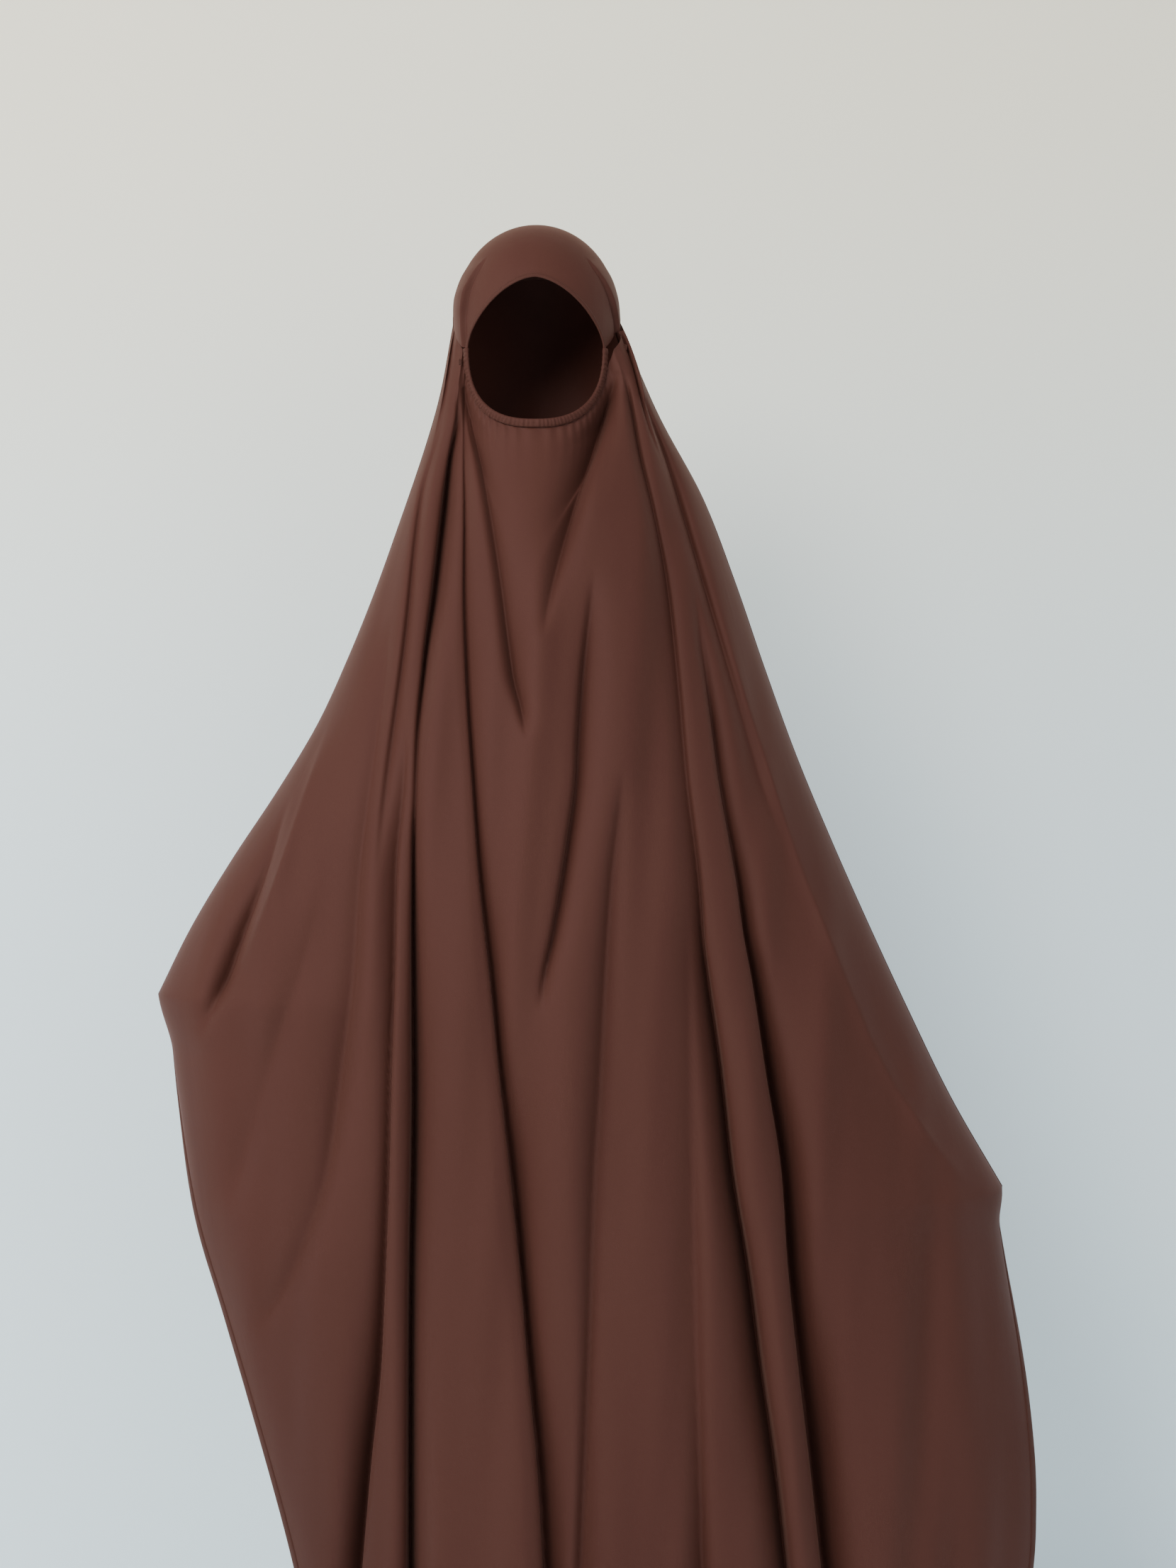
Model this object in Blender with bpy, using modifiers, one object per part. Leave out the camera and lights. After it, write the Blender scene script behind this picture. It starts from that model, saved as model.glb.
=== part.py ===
# Khimar veil: an overhead veil of thin crepe, worn, with its hood, chin band and hems.
# Frame: metres, +Z up, the front towards -Y. The origin is where the crown of the head meets the hood.

import math
from collections import namedtuple

import bmesh
import bpy
import numpy as np

# Driving sizes of the hood and face opening
HEAD_WIDTH = 0.174
HEAD_FRONT = 0.098
HEAD_BACK = 0.112
CROWN_HEIGHT = 0.092
NECK_TAPER = 0.250
FACE_WIDTH = 0.143
BROW_DROP = 0.075
JAW_DROP = 0.140
CHIN_DROP = 0.221
SEAM_DROP = 0.040
PLEAT_DEPTH = 0.005

# Driving sizes of the veil
VEIL_LENGTH = 1.580
SIDE_DROP = 0.106
LEFT_REACH = 0.407
RIGHT_REACH = 0.502
LEFT_WRIST_DROP = 0.832
RIGHT_WRIST_DROP = 1.039
FRONT_DEPTH = 0.185
BACK_DEPTH = 0.180
ARM_FORWARD = 0.025
FOLD_DEPTH = 0.050
BACK_FOLD_DEPTH = 0.035
CORNER_LIFT = 0.045

# Driving sizes of the cloth and its edges
CLOTH_WALL = 0.002
HEM_WALL = 0.003
HEM_WIDTH = 0.008
BAND_WIDTH = 0.009
BROW_HEM_WIDTH = 0.005
SEAM_GAP = 0.0008
BACK_INSET = 0.022

# Mesh fineness
HOOD_ACROSS = 24
HOOD_DEEP = 12
UPPER_ROWS = 14
LOWER_ROWS = 9
COLUMNS_BETWEEN = 2
TOP_STEP = 0.036
BAND_STEPS = 28

# Shape of the curves
ARCH_POWER = 1.6
CHIN_POWER = 2.4
EDGE_EASE = 12
NECK_BLEND = 0.16

# The outline above the wrists: down as a share from the side of the jaw to the wrist, left and right
# as shares from the jaw's half width to the reach of that arm.
Outline = namedtuple("Outline", "down left right")
ARM_OUTLINE = (
    Outline(0.00, 0.000, 0.000),
    Outline(0.10, 0.048, 0.102),
    Outline(0.20, 0.118, 0.223),
    Outline(0.30, 0.195, 0.309),
    Outline(0.40, 0.275, 0.385),
    Outline(0.50, 0.365, 0.465),
    Outline(0.60, 0.468, 0.557),
    Outline(0.70, 0.603, 0.656),
    Outline(0.80, 0.752, 0.760),
    Outline(0.90, 0.888, 0.870),
    Outline(1.00, 1.000, 1.000),
)
# The free sides below the wrists: down as a share from the wrist to the hem, left and right as shares
# of the reach of that arm.
SIDE_OUTLINE = (
    Outline(0.00, 1.000, 1.000),
    Outline(0.15, 0.965, 1.022),
    Outline(0.30, 0.909, 1.042),
    Outline(0.45, 0.820, 1.054),
    Outline(0.60, 0.735, 1.060),
    Outline(0.75, 0.657, 1.050),
    Outline(0.90, 0.590, 1.005),
    Outline(1.00, 0.546, 0.950),
)
# How far the cloth stands forward and back of the side line, as shares of FRONT_DEPTH and BACK_DEPTH;
# down is a share of VEIL_LENGTH, and flat is how far the section is opened from a half ellipse.
Depth = namedtuple("Depth", "down front back flat")
DEPTHS = (
    Depth(0.00, 0.40, 0.45, 0.00),
    Depth(0.06, 0.46, 0.62, 0.00),
    Depth(0.13, 0.48, 0.64, 0.00),
    Depth(0.20, 0.66, 0.72, 0.00),
    Depth(0.30, 0.84, 0.82, 0.00),
    Depth(0.45, 0.92, 0.88, 0.00),
    Depth(0.60, 0.95, 0.92, 0.06),
    Depth(0.80, 0.98, 0.97, 0.20),
    Depth(1.00, 1.00, 1.00, 0.24),
)

# Folds of the front panel, left to right. top is the share along the neckline where the fold starts,
# chest to hem are its places at the heights in FOLD_HEIGHTS, as shares of the span from wrist to
# wrist. starts, full, fades and ends are shares of VEIL_LENGTH, deep is a share of the panel's fold
# depth, and left and right are the widths of its two flanks as shares of that span.
Fold = namedtuple("Fold", "name top chest waist hip knee hem starts full fades ends deep left right")
FOLD_HEIGHTS = (0.20, 0.38, 0.56, 0.76, 0.92)
FRONT_FOLDS = (
    Fold("arm_swag", 0.03, 0.297, 0.192, 0.085, 0.143, 0.190, 0.30, 0.46, 0.52, 0.62, 0.42, 0.030, 0.030),
    Fold("elbow_swag", 0.06, 0.310, 0.266, 0.239, 0.195, 0.210, 0.30, 0.50, 0.66, 0.80, 0.42, 0.035, 0.022),
    Fold("left_tuck", 0.09, 0.324, 0.303, 0.292, 0.277, 0.251, 0.36, 0.60, 1.00, 1.10, 0.60, 0.024, 0.008),
    Fold("left_slit", 0.12, 0.337, 0.317, 0.312, 0.308, 0.306, 0.13, 0.22, 1.00, 1.10, 1.00, 0.010, 0.034),
    Fold("lap", 0.15, 0.365, 0.379, 0.406, 0.443, 0.460, 0.11, 0.25, 1.00, 1.10, 0.55, 0.032, 0.020),
    Fold("left_chin_swag", 0.20, 0.396, 0.448, 0.424, 0.456, 0.470, 0.11, 0.20, 0.30, 0.42, 0.50, 0.020, 0.032),
    Fold("right_chin_swag", 0.80, 0.495, 0.466, 0.442, 0.470, 0.480, 0.11, 0.17, 0.26, 0.36, 0.80, 0.030, 0.030),
    Fold("bust_fold", 0.82, 0.526, 0.496, 0.458, 0.484, 0.490, 0.24, 0.36, 0.50, 0.60, 0.50, 0.014, 0.028),
    Fold("hip_fold", 0.85, 0.546, 0.550, 0.523, 0.510, 0.501, 0.36, 0.58, 1.00, 1.10, 0.36, 0.026, 0.026),
    Fold("soft_fold", 0.865, 0.562, 0.590, 0.610, 0.630, 0.638, 0.48, 0.80, 1.00, 1.10, 0.32, 0.045, 0.034),
    Fold("right_slit", 0.88, 0.585, 0.620, 0.657, 0.704, 0.733, 0.12, 0.70, 1.00, 1.10, 0.95, 0.026, 0.014),
    Fold("right_tuck", 0.91, 0.604, 0.658, 0.707, 0.746, 0.773, 0.26, 0.60, 1.00, 1.10, 0.95, 0.016, 0.026),
    Fold("arm_pull", 0.95, 0.625, 0.705, 0.829, 0.930, 0.940, 0.15, 0.30, 0.50, 0.70, 0.36, 0.030, 0.030),
)

# Flutes of the back panel, left to right, in the same terms
BACK_FOLDS = (
    Fold("back_arm_left", 0.10, 0.31, 0.24, 0.16, 0.20, 0.24, 0.30, 0.52, 0.80, 1.20, 0.55, 0.040, 0.050),
    Fold("back_flute_1", 0.30, 0.37, 0.35, 0.33, 0.33, 0.33, 0.16, 0.80, 1.00, 1.20, 0.90, 0.045, 0.035),
    Fold("back_flute_2", 0.42, 0.42, 0.42, 0.43, 0.44, 0.45, 0.20, 0.70, 1.00, 1.20, 0.75, 0.035, 0.050),
    Fold("back_flute_3", 0.52, 0.47, 0.50, 0.53, 0.55, 0.57, 0.14, 0.75, 1.00, 1.20, 1.00, 0.045, 0.040),
    Fold("back_flute_4", 0.62, 0.52, 0.58, 0.64, 0.68, 0.70, 0.22, 0.70, 1.00, 1.20, 0.80, 0.040, 0.050),
    Fold("back_flute_5", 0.72, 0.57, 0.65, 0.74, 0.80, 0.82, 0.16, 0.80, 1.00, 1.20, 0.85, 0.050, 0.040),
    Fold("back_arm_right", 0.90, 0.62, 0.71, 0.84, 0.91, 0.92, 0.30, 0.60, 0.85, 1.20, 0.50, 0.040, 0.040),
)

# Pleats of the hood's sides: place from the brow edge to the back seam, and depth and width as shares
Pleat = namedtuple("Pleat", "place deep wide")
PLEATS = (
    Pleat(0.36, 1.0, 0.07),
    Pleat(0.56, 0.7, 0.08),
)

# Colour, roughness and sheen of the cloth pieces
CREPE = (0.105, 0.041, 0.028, 1.0)
CREPE_SHADE = (0.088, 0.034, 0.023, 1.0)
CREPE_ROUGHNESS = 0.62

half_head = HEAD_WIDTH / 2
half_face = FACE_WIDTH / 2
head_centre = -CROWN_HEIGHT
hem_edge = HEM_WIDTH + SEAM_GAP


def smooth(value):
    """0 to 1 with level ends."""
    value = min(max(value, 0.0), 1.0)
    return value * value * (3 - 2 * value)


def read_curve(places, values, at):
    """The value at one place on a smooth curve through the rows of a table."""
    slopes = np.gradient(values, places)
    k = int(np.clip(np.searchsorted(places, at) - 1, 0, len(places) - 2))
    span = places[k + 1] - places[k]
    t = min(max((at - places[k]) / span, 0.0), 1.0)
    start, end = values[k], values[k + 1]
    return (
        start * (1 + 2 * t) * (1 - t) ** 2
        + slopes[k] * span * t * (1 - t) ** 2
        + end * t * t * (3 - 2 * t)
        + slopes[k + 1] * span * t * t * (t - 1)
    )


def read_table(rows, column, at):
    places = [row[0] for row in rows]
    return read_curve(places, [getattr(row, column) for row in rows], at)


# The form of the head under the hood

def form_height(z):
    return CROWN_HEIGHT if z > head_centre else NECK_TAPER


def form_y(x, z, front=True):
    """How far the head form reaches forward or back at one place of its front view."""
    left_over = 1 - (x / half_head) ** 2 - ((z - head_centre) / form_height(z)) ** 2
    reach = math.sqrt(max(left_over, 0.0))
    return -HEAD_FRONT * reach if front else HEAD_BACK * reach


def on_form(direction):
    """The point of the head form in one direction from its centre."""
    x, y, z = direction
    deep = HEAD_FRONT if y < 0 else HEAD_BACK
    high = CROWN_HEIGHT if z > 0 else NECK_TAPER
    scale = 1 / math.sqrt((x / half_head) ** 2 + (y / deep) ** 2 + (z / high) ** 2)
    return np.array([x * scale, y * scale, head_centre + z * scale])


def arc_point(share, half_width, height, power):
    """A point on a half superellipse, from its left end over the middle to its right end."""
    angle = math.pi * share
    side, rise = math.cos(angle), math.sin(angle)
    x = -half_width * math.copysign(abs(side) ** (2 / power), side)
    return x, height * max(rise, 0.0) ** (2 / power)


def brow_edge(share, inset=0.0):
    """The upper edge of the face opening, from jaw to jaw, moved back over the head by inset."""
    x, rise = arc_point(share, half_face + inset * 0.45, JAW_DROP - BROW_DROP + inset, ARCH_POWER)
    z = rise - JAW_DROP + SEAM_GAP
    return np.array([x, form_y(x, z), z])


def back_seam(share, inset=0.0):
    """The seam behind the crown where the hood meets the back panel, from side to side."""
    angle = math.pi * share
    z = SEAM_GAP - JAW_DROP + (JAW_DROP - SEAM_DROP - inset) * math.sin(angle) ** 0.8
    taper = math.sqrt(1 - ((z - head_centre) / form_height(z)) ** 2)
    x = -half_head * taper * math.cos(angle)
    return np.array([x, form_y(x, z, front=False) + inset * 0.5, z])


def chin_edge(share):
    """The lower edge of the face opening and the direction away from it along the head form."""
    step = 0.002
    x, fall = arc_point(share, half_face, CHIN_DROP - JAW_DROP, CHIN_POWER)
    z = -JAW_DROP - fall
    angle = math.pi * share
    away = np.array([-math.cos(angle), 0.0, -math.sin(angle)])
    ahead = form_y(x + away[0] * step, z + away[2] * step)
    away[1] = (ahead - form_y(x, z)) / step
    return np.array([x, form_y(x, z), z]), away / np.linalg.norm(away)


# The sections of the veil

def wrist_height(across):
    return -LEFT_WRIST_DROP + (LEFT_WRIST_DROP - RIGHT_WRIST_DROP) * across


def hem_growth(z, left):
    """The hem's width as a share of its full width: it grows from nothing just below the wrist."""
    wrist = LEFT_WRIST_DROP if left else RIGHT_WRIST_DROP
    return smooth(EDGE_EASE * (-z - wrist) / (VEIL_LENGTH - wrist))


def side_x(z, left, inset=0.0):
    """The side line of the veil at one height; inset draws the free side below the wrist inwards."""
    reach = LEFT_REACH if left else RIGHT_REACH
    wrist = LEFT_WRIST_DROP if left else RIGHT_WRIST_DROP
    column = "left" if left else "right"
    jaw = half_head
    if -z <= wrist:
        down = max((-z - SIDE_DROP) / (wrist - SIDE_DROP), 0.0)
        out = jaw + (reach - jaw) * read_table(ARM_OUTLINE, column, down)
    else:
        down = (-z - wrist) / (VEIL_LENGTH - wrist)
        out = reach * read_table(SIDE_OUTLINE, column, down)
        out -= inset * hem_growth(z, left)
    return -out if left else out


def side_y(z):
    """The side line comes forward with the arms."""
    return -ARM_FORWARD * smooth((-z - JAW_DROP) / (LEFT_WRIST_DROP - JAW_DROP))


def section_point(across, z, sides, front):
    """A point of the level section of one panel, without folds."""
    left, right = sides
    down = -z / VEIL_LENGTH
    turn = 1 - read_table(DEPTHS, "flat", down)
    bulge = math.sqrt(max(1 - turn * (2 * across - 1) ** 2, 0.0))
    if front:
        deep = -SEAM_GAP / 2 - FRONT_DEPTH * read_table(DEPTHS, "front", down) * bulge
    else:
        deep = SEAM_GAP / 2 + BACK_DEPTH * read_table(DEPTHS, "back", down) * bulge
    return np.array([left + (right - left) * across, side_y(z) + deep, z])


def fold_across(fold, z, inset):
    """Where across the panel a fold lies at one height; it keeps the chest's share above the chest."""
    down = min(max(-z / VEIL_LENGTH, FOLD_HEIGHTS[0]), 1.0)
    x = -LEFT_REACH + (LEFT_REACH + RIGHT_REACH) * read_curve(FOLD_HEIGHTS, fold[2:7], down)
    left, right = (side_x(-down * VEIL_LENGTH, side, inset) for side in (True, False))
    return (x - left) / (right - left)


def fold_depth(folds, across, z, width, inset):
    """How far all folds together draw the cloth in, as a share of the panel's fold depth."""
    deep = 0.0
    down = -z / VEIL_LENGTH
    for fold in folds:
        here = smooth((down - fold.starts) / (fold.full - fold.starts))
        here *= 1 - smooth((down - fold.fades) / (fold.ends - fold.fades))
        away = (across - fold_across(fold, z, inset)) * width / (LEFT_REACH + RIGHT_REACH)
        away /= fold.left if away < 0 else fold.right
        deep += fold.deep * here * math.exp(-(abs(away) ** 1.6))
    return deep


def fold_columns(folds):
    """Mesh columns as (fold, next fold, share of the way): on each fold and between them."""
    ends = [None, *folds, None]
    columns = []
    for one, other in zip(ends, ends[1:]):
        along = (other.top if other else 1.0) - (one.top if one else 0.0)
        steps = max(COLUMNS_BETWEEN + 1, round(along / TOP_STEP))
        columns += [(one, other, k / steps) for k in range(steps)]
    return [*columns, (None, None, 1.0)]


def column_place(column, z, inset):
    """(place across, share along the top edge) of one mesh column at one height."""
    one, other, share = column
    if one is None and other is None:
        return 1.0, 1.0
    start = (fold_across(one, z, inset), one.top) if one else (0.0, 0.0)
    end = (fold_across(other, z, inset), other.top) if other else (1.0, 1.0)
    if one is None:
        share = share ** 1.6
    elif other is None:
        share = 1 - (1 - share) ** 1.6
    return tuple(a + (b - a) * share for a, b in zip(start, end))


def neckline(share):
    """The top edge of the front panel: the hood's side, the chin band, and the hood's other side."""
    side_share = 0.12
    clear = BAND_WIDTH + 2 * SEAM_GAP
    if side_share <= share <= 1 - side_share:
        place, away = chin_edge((share - side_share) / (1 - 2 * side_share))
        return place + away * clear
    right = share > 0.5
    start, away = chin_edge(1.0 if right else 0.0)
    start = start + away * clear
    turn = (1 - share if right else share) / side_share
    z = -JAW_DROP - SEAM_GAP
    taper = math.sqrt(1 - ((z - head_centre) / NECK_TAPER) ** 2)
    full = math.asin(min(abs(start[0]) / (half_head * taper), 1.0))
    angle = math.pi / 2 + (full - math.pi / 2) * turn
    x = half_head * taper * math.sin(angle)
    y = -HEAD_FRONT * taper * math.cos(angle) - SEAM_GAP / 2
    return np.array([x if right else -x, y, z + (start[2] - z) * turn])


def back_top(share):
    """The top edge of the back panel, just clear of the hood's back seam."""
    place = back_seam(share, SEAM_GAP)
    return place + np.array([0.0, SEAM_GAP, -SEAM_GAP])


def panel_grid(front):
    """Rows of points of one panel, from its top edge to its bottom hem."""
    folds = FRONT_FOLDS if front else BACK_FOLDS
    top_edge = neckline if front else back_top
    depth = FOLD_DEPTH if front else -BACK_FOLD_DEPTH
    inset = hem_edge if front else hem_edge + BACK_INSET
    columns = []
    for column in fold_columns(folds):
        low, along = column_place(column, -VEIL_LENGTH, inset)
        top = top_edge(along)
        sides = side_x(top[2], True), side_x(top[2], False)
        start = min(max((top[0] - sides[0]) / (sides[1] - sides[0]), 0.0), 1.0)
        if along in (0.0, 1.0):
            start = along
        lead = top - section_point(start, top[2], sides, front)
        columns.append((column, top, start, lead, low))
    rows = []
    heights = [0.5 * (k / UPPER_ROWS) ** 1.15 for k in range(UPPER_ROWS)]
    heights += [0.5 + 0.5 * k / LOWER_ROWS for k in range(LOWER_ROWS + 1)]
    for height in heights:
        row = []
        for column, top, start, lead, low in columns:
            wrist = wrist_height(low)
            bottom = -VEIL_LENGTH + hem_edge + CORNER_LIFT * abs(2 * low - 1) ** 8
            if height <= 0.5:
                z = top[2] + (wrist - top[2]) * height * 2
            else:
                z = wrist + (bottom - wrist) * (height - 0.5) * 2
            sides = side_x(z, True, inset), side_x(z, False, inset)
            hold = 1 - smooth((top[2] - z) / NECK_BLEND)
            across = column_place(column, z, inset)[0]
            edge = min(1.0, EDGE_EASE * across, EDGE_EASE * (1 - across))
            deep = fold_depth(folds, across, z, sides[1] - sides[0], inset) * (1 - hold) * edge
            across += (start - across) * hold
            point = section_point(across, z, sides, front) + lead * hold
            point[1] += depth * deep
            row.append(point)
        rows.append(row)
    return rows


# Building the pieces

def material(name, colour):
    made = bpy.data.materials.new(name)
    made.use_nodes = True
    surface = made.node_tree.nodes["Principled BSDF"]
    surface.inputs["Base Color"].default_value = colour
    surface.inputs["Roughness"].default_value = CREPE_ROUGHNESS
    surface.inputs["Metallic"].default_value = 0.0
    return made


def add_sheet(name, rows, wall, colour):
    """One piece of cloth: a grid moved onto the rows of points, given its wall by Solidify."""
    down, across = len(rows) - 1, len(rows[0]) - 1
    mesh = bpy.data.meshes.new(name)
    cloth = bmesh.new()
    bmesh.ops.create_grid(cloth, x_segments=across, y_segments=down, size=0.5)
    for vert in cloth.verts:
        column = round((vert.co.x + 0.5) * across)
        row = round((0.5 - vert.co.y) * down)
        vert.co = rows[row][column]
    cloth.to_mesh(mesh)
    cloth.free()
    mesh.shade_smooth()
    piece = bpy.data.objects.new(name, mesh)
    collection.objects.link(piece)
    piece.data.materials.append(material(name, colour))
    shell = piece.modifiers.new("cloth wall", "SOLIDIFY")
    shell.thickness = wall
    shell.offset = 0.0
    return piece


def add_strip(name, edge, away, widths, wall, colour):
    """A flat strip beside an edge: edge points, the directions away from them and the widths."""
    rows = [
        [p + a * (SEAM_GAP + (w - SEAM_GAP) * k / 2) for p, a, w in zip(edge, away, widths)]
        for k in range(3)
    ]
    return add_sheet(name, rows, wall, colour)


def unit(vector):
    return vector / np.linalg.norm(vector)


def hood_grid():
    """Rows from the brow edge over the crown to the back seam."""
    centre = np.array([0.0, 0.0, head_centre])
    rows = []
    for k in range(HOOD_DEEP + 1):
        back = k / HOOD_DEEP
        row = []
        for j in range(HOOD_ACROSS + 1):
            share = j / HOOD_ACROSS
            start = unit(brow_edge(share, BROW_HEM_WIDTH + SEAM_GAP) - centre)
            end = unit(back_seam(share) - centre)
            angle = math.acos(float(np.dot(start, end)))
            way = (start * math.sin((1 - back) * angle) + end * math.sin(back * angle)) / math.sin(angle)
            side = abs(math.cos(math.pi * share)) ** 1.5
            ridge = sum(p.deep * math.exp(-(((back - p.place) / p.wide) ** 2)) for p in PLEATS)
            point = on_form(way) + unit(way) * PLEAT_DEPTH * ridge * side
            point[2] = max(point[2], SEAM_GAP - JAW_DROP)
            row.append(point)
        rows.append(row)
    return rows


def add_hood():
    add_sheet("hood", hood_grid(), CLOTH_WALL, CREPE)


def add_forehead_hem():
    shares = [j / HOOD_ACROSS for j in range(HOOD_ACROSS + 1)]
    rows = [[brow_edge(s, BROW_HEM_WIDTH * k / 2) for s in shares] for k in range(3)]
    add_sheet("forehead_hem", rows, HEM_WALL, CREPE_SHADE)


def add_chin_band():
    pairs = [chin_edge(j / BAND_STEPS) for j in range(BAND_STEPS + 1)]
    edge, away = zip(*pairs)
    add_strip("chin_band", edge, away, [BAND_WIDTH] * len(edge), HEM_WALL, CREPE_SHADE)


def hem_path(rows):
    """The free edge of a panel from wrist to wrist, the directions away from it, and the widths."""
    last = len(rows) - 1
    path, away, widths = [], [], []

    def add_side(r, edge, beside):
        path.append(rows[r][edge])
        away.append(unit(rows[r][edge] - rows[r][beside]))
        grown = hem_growth(rows[r][edge][2], edge == 0)
        widths.append(max(hem_edge * grown, SEAM_GAP + HEM_WALL))

    for r in range(UPPER_ROWS, last):
        add_side(r, 0, 1)
    for c, (point, above) in enumerate(zip(rows[last], rows[last - 1])):
        path.append(point)
        down = unit(point - above)
        if c == 0:
            down = down + unit(point - rows[last][1])
        elif c == len(rows[last]) - 1:
            down = down + unit(point - rows[last][-2])
        away.append(down)
        widths.append(hem_edge)
    for r in range(last - 1, UPPER_ROWS - 1, -1):
        add_side(r, -1, -2)
    return path, away, widths


def add_panel(front):
    rows = panel_grid(front)
    side = "front" if front else "back"
    add_sheet("veil_" + side, rows, CLOTH_WALL, CREPE)
    path, away, widths = hem_path(rows)
    add_strip("hem_" + side, path, away, widths, HEM_WALL, CREPE_SHADE)


for old in list(bpy.data.objects):
    bpy.data.objects.remove(old)
collection = bpy.data.collections.new("khimar_veil")
bpy.context.scene.collection.children.link(collection)

add_hood()
add_forehead_hem()
add_chin_band()
add_panel(front=True)
add_panel(front=False)
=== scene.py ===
# Khimar veil of thin crepe, worn: the hood, chin band, front and back drapes and their rolled hems.
import math

import bpy
import numpy as np
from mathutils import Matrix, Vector


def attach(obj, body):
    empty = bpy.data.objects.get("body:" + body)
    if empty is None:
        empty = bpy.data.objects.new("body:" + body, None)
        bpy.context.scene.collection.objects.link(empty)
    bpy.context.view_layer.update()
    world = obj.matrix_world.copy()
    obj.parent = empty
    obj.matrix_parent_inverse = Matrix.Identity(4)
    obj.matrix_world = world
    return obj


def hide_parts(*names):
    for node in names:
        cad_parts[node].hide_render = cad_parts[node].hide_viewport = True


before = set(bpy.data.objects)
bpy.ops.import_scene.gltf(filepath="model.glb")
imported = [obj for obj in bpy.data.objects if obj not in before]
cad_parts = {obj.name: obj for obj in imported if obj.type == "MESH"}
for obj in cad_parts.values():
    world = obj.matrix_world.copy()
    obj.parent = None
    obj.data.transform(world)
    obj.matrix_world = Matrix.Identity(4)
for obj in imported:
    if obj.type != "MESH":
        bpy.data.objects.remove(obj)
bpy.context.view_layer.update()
print("frame loaded")

# Sizes of the whole veil, in metres
veil = {
    "headWidth": 0.174,
    "headFront": 0.098,
    "headBack": 0.112,
    "crownHeight": 0.092,
    "neckTaper": 0.250,
    "faceWidth": 0.143,
    "browDrop": 0.075,
    "jawDrop": 0.140,
    "chinDrop": 0.221,
    "seamDrop": 0.040,
    "earDrop": 0.100,
    "sideDrop": 0.106,
    "length": 1.580,
    "leftReach": 0.407,
    "rightReach": 0.502,
    "leftWristDrop": 0.832,
    "rightWristDrop": 1.039,
    "armForward": 0.025,
    "frontDepth": 0.185,
    "backDepth": 0.180,
    "neckBlend": 0.16,
    "hemWidth": 0.0088,
    "backInset": 0.022,
    "cornerLift": 0.045,
    "archPower": 1.6,
    "chinPower": 2.4,
    "seamPower": 0.8,
}
halfHead = veil["headWidth"] / 2
halfFace = veil["faceWidth"] / 2
headCentre = -veil["crownHeight"]

# Down from the side of the jaw to the wrist, then how far out each arm is: all shares
armOutline = [
    (0.00, 0.000, 0.000), (0.10, 0.048, 0.102), (0.20, 0.118, 0.223), (0.30, 0.195, 0.309),
    (0.40, 0.275, 0.385), (0.50, 0.365, 0.465), (0.60, 0.468, 0.557), (0.70, 0.603, 0.656),
    (0.80, 0.752, 0.760), (0.90, 0.888, 0.870), (1.00, 1.000, 1.000),
]
# Down from the wrist to the hem, then the free edges as shares of each reach
sideOutline = [
    (0.00, 1.000, 1.000), (0.15, 0.965, 1.022), (0.30, 0.909, 1.042), (0.45, 0.820, 1.054),
    (0.60, 0.735, 1.060), (0.75, 0.657, 1.050), (0.90, 0.590, 1.005), (1.00, 0.546, 0.950),
]
# Down the length, then how deep the front and back stand and how far the section is opened: shares
depthTable = [
    (0.00, 0.40, 0.45, 0.00), (0.06, 0.46, 0.62, 0.00), (0.13, 0.48, 0.64, 0.00),
    (0.20, 0.66, 0.72, 0.00), (0.30, 0.84, 0.82, 0.00), (0.45, 0.92, 0.88, 0.00),
    (0.60, 0.95, 0.92, 0.06), (0.80, 0.98, 0.97, 0.20), (1.00, 1.00, 1.00, 0.24),
]
# Which share of the neckline, jaw to jaw, feeds each share across the chest
neckFeed = [
    (0.00, 0.00), (0.03, 0.03), (0.065, 0.06), (0.10, 0.09), (0.136, 0.12), (0.211, 0.15),
    (0.294, 0.20), (0.559, 0.80), (0.641, 0.82), (0.695, 0.85), (0.738, 0.865), (0.80, 0.88),
    (0.85, 0.91), (0.906, 0.95), (1.00, 1.00),
]
# Which share of the back seam feeds each share across the shoulders
seamFeed = [
    (0.00, 0.00), (0.064, 0.10), (0.226, 0.30), (0.362, 0.42), (0.497, 0.52), (0.633, 0.62),
    (0.769, 0.72), (0.904, 0.90), (1.00, 1.00),
]

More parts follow.
